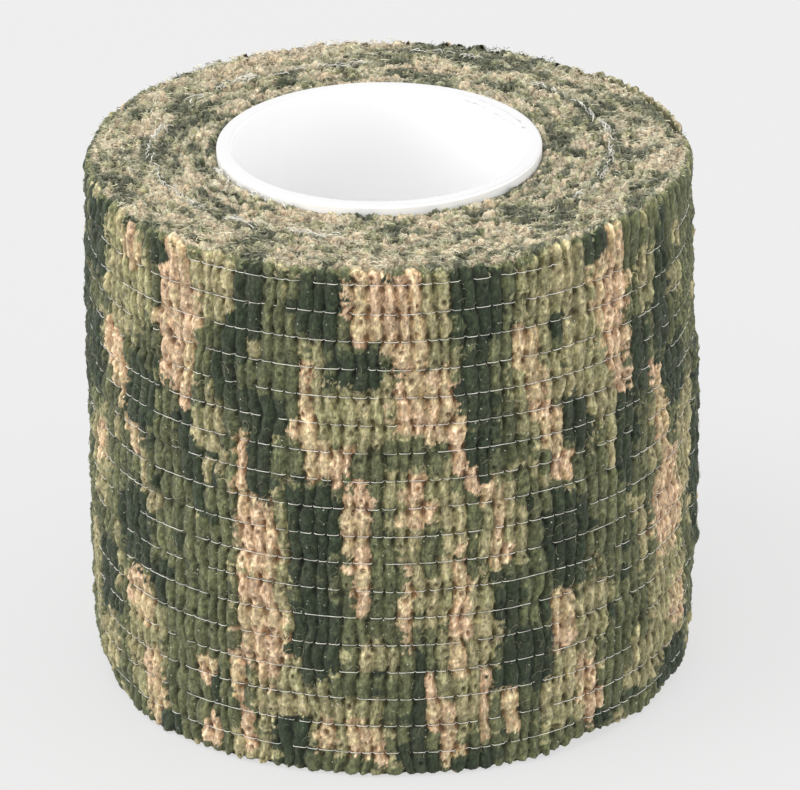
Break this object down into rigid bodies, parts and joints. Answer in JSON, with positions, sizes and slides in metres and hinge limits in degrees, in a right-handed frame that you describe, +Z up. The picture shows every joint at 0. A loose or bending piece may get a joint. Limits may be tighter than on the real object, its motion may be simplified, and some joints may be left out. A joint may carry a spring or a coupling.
{
  "type": "cohesive wrap tape roll",
  "caption": "Roll of self-clinging elastic fabric wrap wound on a plain plastic core, with a free end that peels off the roll in three hinged links.",
  "frame": {"origin": "on the core's axis, in the plane that the roll stands on", "axes": "+Z up along the core's axis; the tape winds outwards counter-clockwise seen from +Z, and its free end starts 12 degrees past +X"},
  "size_m": [0.0555, 0.055, 0.051],
  "materials": {
    "core_plastic": "smooth gloss",
    "printed_fabric": "puckered non-woven, printed in four-colour camouflage",
    "backing_fabric": "puckered non-woven",
    "elastic": "matte"
  },
  "bodies": {
    "roll": {"core": "core_plastic", "backing_ply": "backing_fabric", "printed_ply": "printed_fabric", "elastic_thread_01": "elastic", "elastic_thread_02": "elastic", "elastic_thread_03": "elastic", "elastic_thread_04": "elastic", "elastic_thread_05": "elastic", "elastic_thread_06": "elastic", "elastic_thread_07": "elastic", "elastic_thread_08": "elastic", "elastic_thread_09": "elastic", "elastic_thread_10": "elastic", "elastic_thread_11": "elastic", "elastic_thread_12": "elastic", "elastic_thread_13": "elastic", "elastic_thread_14": "elastic", "elastic_thread_15": "elastic", "elastic_thread_16": "elastic", "elastic_thread_17": "elastic", "elastic_thread_18": "elastic"},
    "tail_root": {"tail_root_backing_ply": "backing_fabric", "tail_root_printed_ply": "printed_fabric", "tail_root_threads": "elastic"},
    "tail_middle": {"tail_middle_backing_ply": "backing_fabric", "tail_middle_printed_ply": "printed_fabric", "tail_middle_threads": "elastic"},
    "tail_tip": {"tail_tip_backing_ply": "backing_fabric", "tail_tip_printed_ply": "printed_fabric", "tail_tip_threads": "elastic"}
  },
  "joints": [
    {"name": "tail_peel", "type": "hinge", "parent": "roll", "child": "tail_root", "pos_m": [0.02795, 0.0059, 0], "axis": [0, 0, -1], "range_deg": [0, 50]},
    {"name": "tail_middle_curl", "type": "hinge", "parent": "tail_root", "child": "tail_middle", "pos_m": [0.02632, 0.01104, 0], "axis": [0, 0, -1], "range_deg": [0, 25]},
    {"name": "tail_tip_curl", "type": "hinge", "parent": "tail_middle", "child": "tail_tip", "pos_m": [0.02388, 0.01557, 0], "axis": [0, 0, -1], "range_deg": [0, 25]}
  ],
  "couplings": [
    {"joint": "tail_middle_curl", "follows": "tail_peel", "ratio": 0.5},
    {"joint": "tail_tip_curl", "follows": "tail_peel", "ratio": 0.5}
  ]
}
